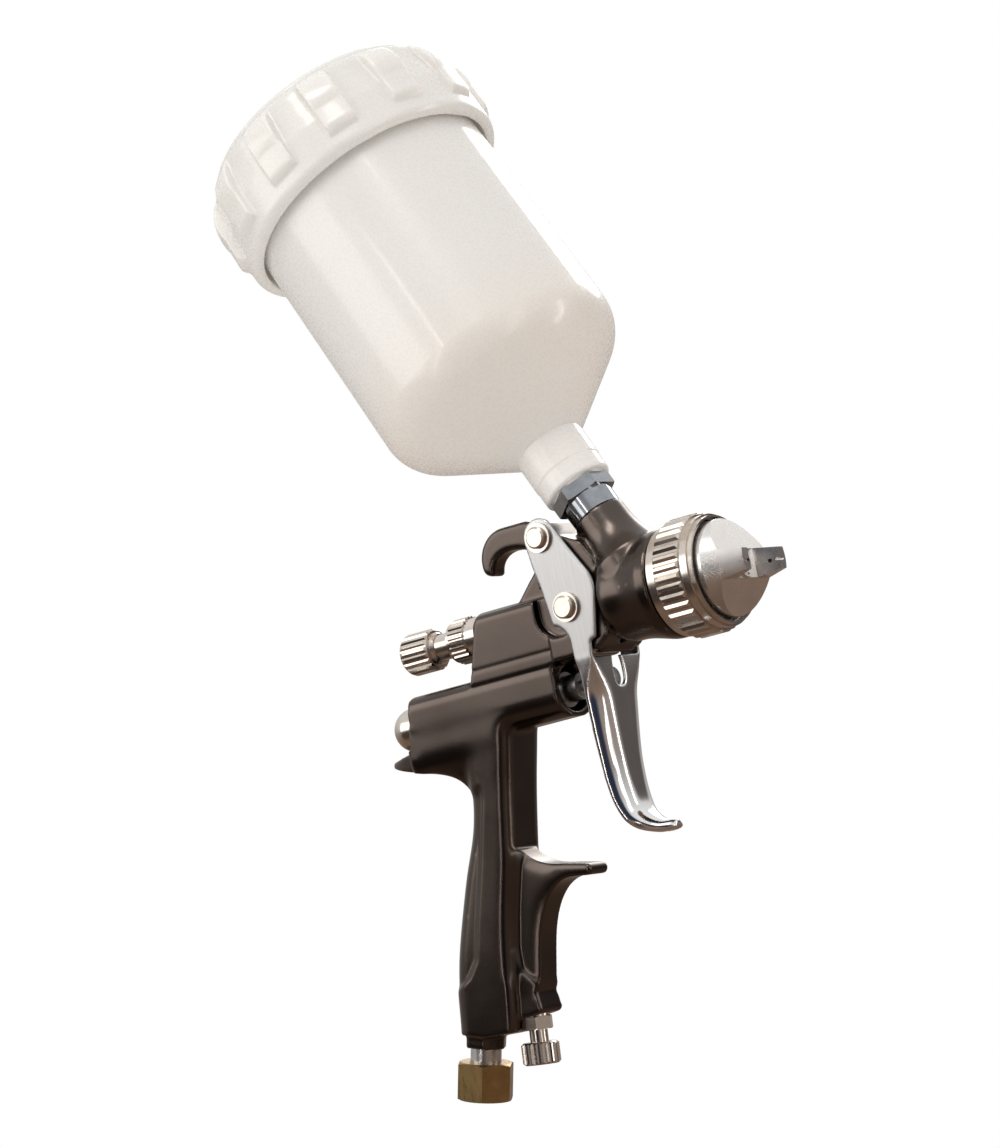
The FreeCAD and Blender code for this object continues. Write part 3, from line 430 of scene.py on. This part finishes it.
def casting_shape(points, edges):
    """One flush side from barrel into handle and tang, soft blends, palm and finger scoops."""
    x, z = points[:, 0].copy(), points[:, 2]
    reach = -0.0130 + 1.2 * np.maximum(z - BARREL_BOTTOM, 0.0)
    flush = step(reach - x, -0.003, 0.003) * step(x, -0.0590, -0.0515)
    flush *= step(-z, 0.0455, 0.0500) * step(z, -0.0820, -0.0600)
    width = np.abs(points[:, 1])
    width = np.where(width > BORE_CLEAR, np.maximum(width, BARREL_HALF * flush), width)
    points[:, 1] = np.sign(points[:, 1]) * width

    front_line = along_line(z, FRONT_LINE)
    palm_line = along_line(z, PALM_LINE)
    behind = step(palm_line - x, -0.0006, 0.0016)
    behind *= step(z, -0.1395, -0.1365) * step(-z, 0.0735, 0.0775)
    before = step(x - front_line, -0.0006, 0.0016)
    before *= step(z, -0.1425, -0.1395) * step(-z, 0.056, 0.060)

    near_front = step(0.012 - np.abs(x - front_line - 0.004), 0.0, 0.006)
    handle = step(z, -0.148, -0.142) * step(-z, 0.050, 0.060)
    weight = 0.6 * near_front * handle * step(width, 0.0054, 0.0066)
    sides = step(-z, 0.044, 0.050) * step(z, -0.085, -0.075) * step(width, 0.0060, 0.0075)
    weight = np.maximum(weight, 0.5 * sides * step(-x, 0.010, 0.020) * step(x, -0.0495, -0.0455))
    side = step(width, 0.0035, 0.0065)
    points = relaxed(points, edges, weight, 60)
    points[:, 1] -= np.sign(points[:, 1]) * SCOOP_DEPTH * side * np.maximum(behind, before)
    return relaxed(points, edges, np.full(len(points), 0.5), 4)


def lever_shape(points, edges):
    """The lever below the cheek plates: a rounded channel that ends in a spoon."""
    x, z = points[:, 0].copy(), points[:, 2].copy()
    nearest = np.full(len(points), 1.0)
    depth, in_x, in_z = (np.zeros(len(points)) for _ in range(3))
    for (x0, z0), (x1, z1) in zip(LEVER_FRONT, LEVER_FRONT[1:]):
        run = math.hypot(x1 - x0, z1 - z0)
        t = np.clip(((x - x0) * (x1 - x0) + (z - z0) * (z1 - z0)) / run ** 2, 0.0, 1.0)
        at_x, at_z = x0 + t * (x1 - x0), z0 + t * (z1 - z0)
        away = np.hypot(x - at_x, z - at_z)
        best = away < nearest
        inward = ((z1 - z0) / run, -(x1 - x0) / run)
        nearest[best] = away[best]
        depth[best] = ((x - at_x) * inward[0] + (z - at_z) * inward[1])[best]
        in_x[best], in_z[best] = inward
    half = along_line(z, LEVER_HALF)
    width = np.abs(points[:, 1])
    radius = 0.0074 * step(-z, 0.0405, 0.0560)
    out, ahead = radius - (half - width), radius - depth
    corner = (out > 0.0) & (ahead > 0.0) & (depth < 0.02)
    shrink = np.maximum(out, ahead) / np.maximum(np.hypot(out, ahead), 1e-9)
    moved = np.where(corner, radius - ahead * shrink - depth, 0.0)
    points[:, 0] += in_x * moved
    points[:, 2] += in_z * moved
    width = np.where(corner, half - radius + out * shrink, width)
    spoon = np.sqrt(np.clip(1.0 - ((x - 0.0325) / 0.0116) ** 2, 0.06, 1.0))
    width *= np.where((x > 0.0325) & (z < -0.085), spoon, 1.0)
    points[:, 1] = np.sign(points[:, 1]) * width
    below = step(-z, 0.042, 0.046)
    return relaxed(points, edges, 0.5 * below + 0.1, 55)


def lid_corner(points):
    """Fills the lid's inner corner, where its own wall is too thin for the voxels to keep."""
    away = points - np.array(CUP_CROSSING)
    station = away @ np.array(CUP_AXIS)
    radial = away - np.outer(station, CUP_AXIS)
    radius = np.linalg.norm(radial, axis=1)
    corner = (np.abs(radius - LID_BORE) < 0.0001) & (station > 0.190)
    points[corner] -= radial[corner] * (LID_FILL / LID_BORE)
    return points


softened("gun_body", 0.5 * MM, 6, casting_shape)
softened("trigger", 0.3 * MM, 4, lever_shape)
softened("lid", 0.5 * MM, 4, inner=lid_corner)


# ---- Camera, floor and light --------------------------------------------------

# (height from 0 below to 1 above, colour) of the room
SKY = [(0.0, (0.17, 0.115, 0.085)), (0.36, (0.26, 0.18, 0.135)), (0.50, (0.34, 0.31, 0.29)),
       (0.62, (0.62, 0.61, 0.60)), (1.0, (1.0, 1.0, 1.0))]
# (direction, cosines of the outer and inner edge, colour) of the dark flags in it
FLAGS = [((0.28, -0.95, 0.06), 0.88, 0.975, (0.02, 0.028, 0.05)),
         ((0.55, 0.83, 0.05), 0.93, 0.985, (0.10, 0.085, 0.08)),
         ((-0.55, -0.80, -0.22), 0.86, 0.985, (0.05, 0.04, 0.035))]
# (name, place, width, height, watts, tint)
LAMPS = [("key", (0.15, -1.1, 1.6), 0.9, 0.5, 10.0, (1.0, 0.97, 0.93)),
         ("side", (-0.80, -0.96, 0.40), 0.8, 0.7, 3.6, (1.0, 0.97, 0.94)),
         ("line", (-0.20, -1.35, 0.15), 0.07, 1.2, 1.5, (1.0, 0.93, 0.88)),
         ("strip", (1.25, -0.45, 0.20), 0.30, 1.1, 1.6, (1.0, 0.98, 0.96)),
         ("front", (1.2, 0.55, 0.05), 0.14, 1.0, 2.2, (1.0, 0.94, 0.90)),
         ("back", (-0.3, 1.4, 0.8), 1.2, 0.5, 7.0, (1.0, 0.97, 0.94))]


def camera():
    data = bpy.data.cameras.new("camera")
    data.lens = LENS
    data.sensor_width = 36.0
    data.clip_end = 50.0
    seat = bpy.data.objects.new("camera", data)
    back = CAMERA_RIGHT.cross(CAMERA_UP)
    turn = Matrix((CAMERA_RIGHT, CAMERA_UP, back)).transposed().to_4x4()
    seat.matrix_world = Matrix.Translation(CAMERA_AT) @ turn
    bpy.context.scene.collection.objects.link(seat)
    bpy.context.scene.camera = seat


def floor():
    radius = 0.9
    level = LOWEST - 0.09
    rim = []
    for number in range(96):
        angle = 2 * math.pi * number / 96
        rim.append((radius * math.cos(angle), radius * math.sin(angle), level))
    mesh = bpy.data.meshes.new("floor")
    mesh.from_pydata(rim, [], [range(96)])
    ground = bpy.data.objects.new("floor", mesh)
    g = Graph("floor_paint", Roughness=0.9)
    shade = g.ramp(g.noise(0.4, 2.0), (0.3, (0.90, 0.90, 0.90)), (0.7, (0.93, 0.93, 0.93)))
    mesh.materials.append(g.finish(shade))
    bpy.context.scene.collection.objects.link(ground)
    ground.visible_glossy = False


def lamp(name, place, width, height, power, tint):
    """A rectangular lamp that faces the gun."""
    data = bpy.data.lights.new(name, "AREA")
    data.shape = "RECTANGLE"
    data.size = width
    data.size_y = height
    data.energy = power
    data.color = tint
    light = bpy.data.objects.new(name, data)
    light.location = place
    light.rotation_euler = (-Vector(place)).to_track_quat("-Z", "Y").to_euler()
    bpy.context.scene.collection.objects.link(light)


def studio():
    """White to the camera; around it a pale room with dark flags for bright metal to mirror."""
    world = bpy.data.worlds.new("studio")
    bpy.context.scene.world = world
    world.use_nodes = True
    tree = world.node_tree
    tree.nodes.clear()

    def add(kind, **settings):
        node = tree.nodes.new(kind)
        for key, value in settings.items():
            setattr(node, key, value)
        return node

    def facing(direction, start, end):
        """0 outside a cone about a direction and 1 inside it; start and end are cosines."""
        dot = add("ShaderNodeVectorMath", operation="DOT_PRODUCT")
        tree.links.new(place, dot.inputs[0])
        dot.inputs[1].default_value = Vector(direction).normalized()
        spread = add("ShaderNodeMapRange", interpolation_type="SMOOTHSTEP")
        spread.inputs["From Min"].default_value = start
        spread.inputs["From Max"].default_value = end
        tree.links.new(dot.outputs["Value"], spread.inputs["Value"])
        return spread.outputs["Result"]

    def over(below, factor, colour):
        mix = add("ShaderNodeMix", data_type="RGBA")
        tree.links.new(factor, mix.inputs[0])
        tree.links.new(below, mix.inputs[6])
        mix.inputs[7].default_value = (*colour, 1)
        return mix.outputs[2]

    place = add("ShaderNodeTexCoord").outputs["Generated"]
    height = add("ShaderNodeSeparateXYZ")
    tree.links.new(place, height.inputs[0])
    level = add("ShaderNodeMapRange")
    level.inputs["From Min"].default_value = -1.0
    tree.links.new(height.outputs["Z"], level.inputs["Value"])
    sky = add("ShaderNodeValToRGB")
    while len(sky.color_ramp.elements) < len(SKY):
        sky.color_ramp.elements.new(0.5)
    for element, (position, colour) in zip(sky.color_ramp.elements, SKY):
        element.position = position
        element.color = (*colour, 1)
    tree.links.new(level.outputs["Result"], sky.inputs["Fac"])
    room = sky.outputs["Color"]
    for direction, start, end, colour in FLAGS:
        room = over(room, facing(direction, start, end), colour)
    seen = add("ShaderNodeBackground")
    lit = add("ShaderNodeBackground")
    tree.links.new(room, lit.inputs["Color"])
    ray = add("ShaderNodeLightPath")
    both = add("ShaderNodeMixShader")
    tree.links.new(ray.outputs["Is Camera Ray"], both.inputs["Fac"])
    tree.links.new(lit.outputs[0], both.inputs[1])
    tree.links.new(seen.outputs[0], both.inputs[2])
    seen.inputs["Color"].default_value = (1, 1, 1, 1)
    tree.links.new(both.outputs[0], add("ShaderNodeOutputWorld").inputs["Surface"])
    for name, place, width, height, power, tint in LAMPS:
        lamp(name, place, width, height, power, tint)


camera()
floor()
studio()
bpy.context.scene.view_settings.view_transform = "Standard"
